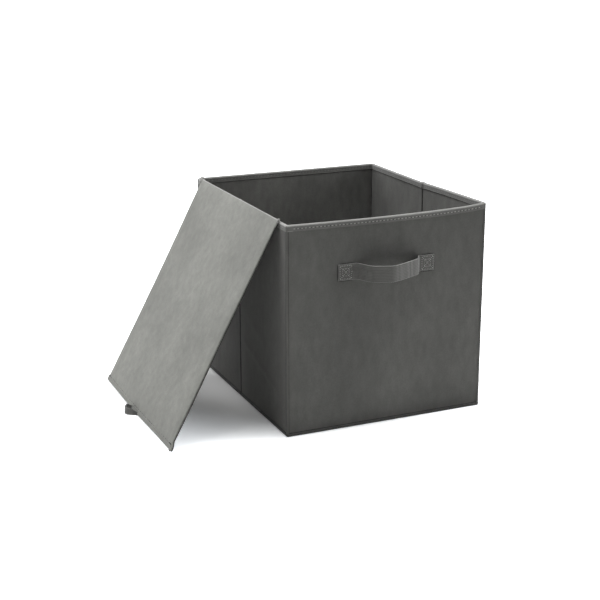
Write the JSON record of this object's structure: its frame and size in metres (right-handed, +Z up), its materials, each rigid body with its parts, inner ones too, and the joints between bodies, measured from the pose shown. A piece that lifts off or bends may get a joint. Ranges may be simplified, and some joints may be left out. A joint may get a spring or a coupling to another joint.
{
  "type": "fabric storage bin",
  "caption": "Open-top folding cloth storage bin with a webbing handle on the front and back walls and a removable base board with a pull loop leaning on its rim.",
  "frame": {"origin": "middle of the bin's own footprint, on the surface that it stands on", "axes": "+X to the right along the front wall, the front wall with its handle faces -Y, +Z up"},
  "size_m": [0.5267, 0.4528, 0.3289],
  "materials": {
    "outer_cloth": "matt charcoal non-woven cloth",
    "lining_cloth": "matt charcoal non-woven cloth",
    "binding": "matt charcoal binding tape",
    "base_tape": "matt dark binding tape",
    "card": "uncoated grey-brown card",
    "webbing": "ribbed woven webbing",
    "thread": "polyester thread",
    "board_cloth": "matt charcoal non-woven cloth"
  },
  "bodies": {
    "back_wall": {"bottom_cloth": "lining_cloth", "back_outer_cloth": "outer_cloth", "back_card": "card", "back_lining": "lining_cloth", "back_rim_binding": "binding", "back_base_tape": "base_tape", "back_left_welt": "binding", "back_right_welt": "binding", "rear_handle_ends": "webbing", "rear_handle_stitching": "thread"},
    "left_rear": {"left_rear_outer_cloth": "outer_cloth", "left_rear_card": "card", "left_rear_lining": "lining_cloth", "left_rear_rim_binding": "binding", "left_rear_base_tape": "base_tape"},
    "left_front": {"left_front_outer_cloth": "outer_cloth", "left_front_card": "card", "left_front_lining": "lining_cloth", "left_front_rim_binding": "binding", "left_front_base_tape": "base_tape"},
    "front_wall": {"front_outer_cloth": "outer_cloth", "front_card": "card", "front_lining": "lining_cloth", "front_rim_binding": "binding", "front_base_tape": "base_tape", "front_left_welt": "binding", "front_right_welt": "binding", "front_handle_ends": "webbing", "front_handle_stitching": "thread"},
    "right_rear": {"right_rear_outer_cloth": "outer_cloth", "right_rear_card": "card", "right_rear_lining": "lining_cloth", "right_rear_rim_binding": "binding", "right_rear_base_tape": "base_tape"},
    "right_front": {"right_front_outer_cloth": "outer_cloth", "right_front_card": "card", "right_front_lining": "lining_cloth", "right_front_rim_binding": "binding", "right_front_base_tape": "base_tape"},
    "front_handle": {"front_handle_strap": "webbing"},
    "rear_handle": {"rear_handle_strap": "webbing"},
    "base_board": {"base_board_card": "card", "base_board_outer_cloth": "board_cloth", "base_board_inner_cloth": "board_cloth", "base_board_hem": "board_cloth"},
    "pull_loop": {"pull_loop": "webbing"}
  },
  "joints": [
    {"name": "side_fold", "type": "hinge", "parent": "back_wall", "child": "left_rear", "pos_m": [-0.159, 0.1845, 0], "axis": [0, 0, 1], "range_deg": [0, 88.8], "deforming": ["bottom_cloth"]},
    {"name": "left_crease", "type": "hinge", "parent": "left_rear", "child": "left_front", "pos_m": [-0.167, 0, 0], "axis": [0, 0, -1], "range_deg": [0, 166]},
    {"name": "front_left_corner", "type": "hinge", "parent": "left_front", "child": "front_wall", "pos_m": [-0.159, -0.1845, 0], "axis": [0, 0, 1], "range_deg": [0, 77.2]},
    {"name": "back_right_corner", "type": "hinge", "parent": "back_wall", "child": "right_rear", "pos_m": [0.159, 0.1845, 0], "axis": [0, 0, -1], "range_deg": [0, 77.2]},
    {"name": "right_crease", "type": "hinge", "parent": "right_rear", "child": "right_front", "pos_m": [0.167, 0, 0], "axis": [0, 0, 1], "range_deg": [0, 166]},
    {"name": "front_handle_lift", "type": "hinge", "parent": "front_wall", "child": "front_handle", "pos_m": [-0.003, -0.1908, 0.2585], "axis": [-1, 0, 0], "range_deg": [0, 50]},
    {"name": "rear_handle_lift", "type": "hinge", "parent": "back_wall", "child": "rear_handle", "pos_m": [-0.003, 0.1908, 0.2585], "axis": [1, 0, 0], "range_deg": [0, 50]},
    {"name": "base_board_lift", "type": "slide", "parent": "back_wall", "child": "base_board", "axis": [0, 0, 1], "range_m": [0, 0.34]},
    {"name": "pull_loop_lift", "type": "hinge", "parent": "base_board", "child": "pull_loop", "pos_m": [-0.34366, 0.006, 0.0116], "axis": [0, 1, 0], "range_deg": [0, 45]}
  ],
  "couplings": [
    {"joint": "left_crease", "follows": "side_fold", "ratio": 1.8692},
    {"joint": "front_left_corner", "follows": "side_fold", "ratio": 0.86916},
    {"joint": "back_right_corner", "follows": "side_fold", "ratio": 0.86916},
    {"joint": "right_crease", "follows": "side_fold", "ratio": 1.8692}
  ]
}
